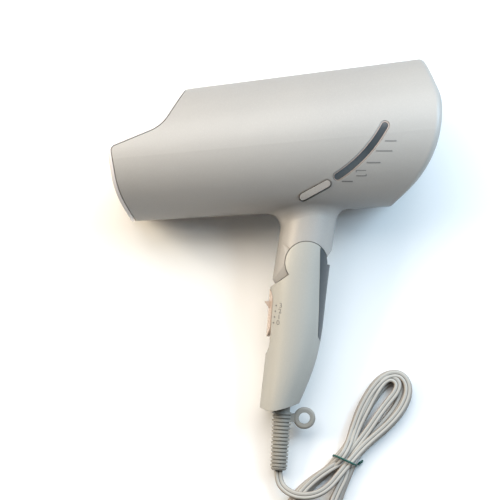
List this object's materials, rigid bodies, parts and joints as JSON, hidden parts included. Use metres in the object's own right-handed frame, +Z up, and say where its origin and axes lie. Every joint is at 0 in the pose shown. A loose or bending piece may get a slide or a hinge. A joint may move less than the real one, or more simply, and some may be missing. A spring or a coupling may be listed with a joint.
{
  "type": "folding hair dryer",
  "caption": "Folding household hair dryer with a raked handle, stepped mist front, arc window, slide switch and a tied flat cord, lying on its side.",
  "frame": {"origin": "centre of the dryer's own footprint on the surface that it lies on, with the cord left out", "axes": "+Z up, +Y from the handle towards the barrel, +X from the air outlet towards the air intake"},
  "size_m": [0.2172, 0.317, 0.0923],
  "materials": {
    "housing_plastic": "pearl painted",
    "handle_plastic": "satin",
    "front_plastic": "gloss",
    "outlet_plastic": "heat resistant, satin",
    "mist_plastic": "gloss",
    "ceramic": "matte",
    "mica": "flaky",
    "heater_wire": "drawn wire",
    "control_metal": "satin",
    "duct_plastic": "matte",
    "motor_steel": "brushed",
    "shaft_steel": "ground",
    "fan_plastic": "matte",
    "grille_plastic": "satin",
    "filter_mesh": "fine mesh",
    "board_green": "solder mask",
    "lamp": "clear",
    "window_smoke": "smoked gloss",
    "rim_plastic": "gloss",
    "button_plastic": "satin",
    "spring_steel": "drawn wire",
    "screw_steel": "zinc plated",
    "strip_plastic": "satin",
    "recess_plastic": "gloss",
    "slide_plastic": "gloss",
    "dark_plastic": "matte",
    "relief_rubber": "matte",
    "cord_rubber": "matte",
    "tie_plastic": "satin",
    "plug_plastic": "satin",
    "blade_brass": "plated"
  },
  "bodies": {
    "barrel": {"housing_left": "housing_plastic", "housing_right": "housing_plastic", "front_panel": "front_plastic", "outlet_collar": "outlet_plastic", "outlet_grille": "outlet_plastic", "mist_outlet": "mist_plastic", "mist_generator": "ceramic", "mist_electrodes": "shaft_steel", "heater_sleeve": "mica", "heater_boards": "mica", "heater_coils": "heater_wire", "thermostat": "control_metal", "thermal_fuse": "control_metal", "fan_duct": "duct_plastic", "motor_mount": "duct_plastic", "motor": "motor_steel", "intake_grille": "grille_plastic", "intake_filter": "filter_mesh", "filter_ring": "grille_plastic", "control_board": "board_green", "indicator_leds": "lamp", "light_guide": "lamp", "indicator_window": "window_smoke", "window_rim": "rim_plastic", "button_switch": "dark_plastic", "button_spring": "spring_steel", "housing_screws": "screw_steel", "detent_balls": "shaft_steel", "detent_springs": "spring_steel"},
    "handle": {"handle_left": "handle_plastic", "handle_right": "handle_plastic", "grip_strip": "strip_plastic", "hinge_pins": "dark_plastic", "slide_recess": "recess_plastic", "switch_block": "dark_plastic", "handle_screws": "screw_steel", "strain_relief": "relief_rubber", "cord_clamp": "dark_plastic", "handle_wires": "cord_rubber", "cord_lead": "cord_rubber", "cord_tail": "cord_rubber", "cord_hank": "cord_rubber", "wire_tie": "tie_plastic", "plug_body": "plug_plastic", "plug_blades": "blade_brass"},
    "slide_switch": {"slide_button": "slide_plastic", "slide_carrier": "dark_plastic"},
    "mode_button": {"mode_button": "button_plastic"},
    "fan": {"fan": "fan_plastic", "motor_shaft": "shaft_steel"}
  },
  "joints": [
    {"name": "handle_fold", "type": "hinge", "parent": "barrel", "child": "handle", "pos_m": [0.0132, 0.00374, 0.03161], "axis": [0, 0.1838, -0.983], "range_deg": [0, 72]},
    {"name": "speed_slide", "type": "slide", "parent": "handle", "child": "slide_switch", "axis": [-0.1571, -0.9707, -0.1816], "range_m": [0, 0.0114]},
    {"name": "mode_button_press", "type": "slide", "parent": "barrel", "child": "mode_button", "axis": [0, 0.1838, -0.983], "range_m": [0, 0.001], "stiffness_N_per_m": 800, "deforming": ["button_spring"]},
    {"name": "fan_spin", "type": "hinge", "parent": "barrel", "child": "fan", "pos_m": [0.0552, 0.08041, 0.04595], "axis": [1, 0, 0], "continuous": true}
  ]
}
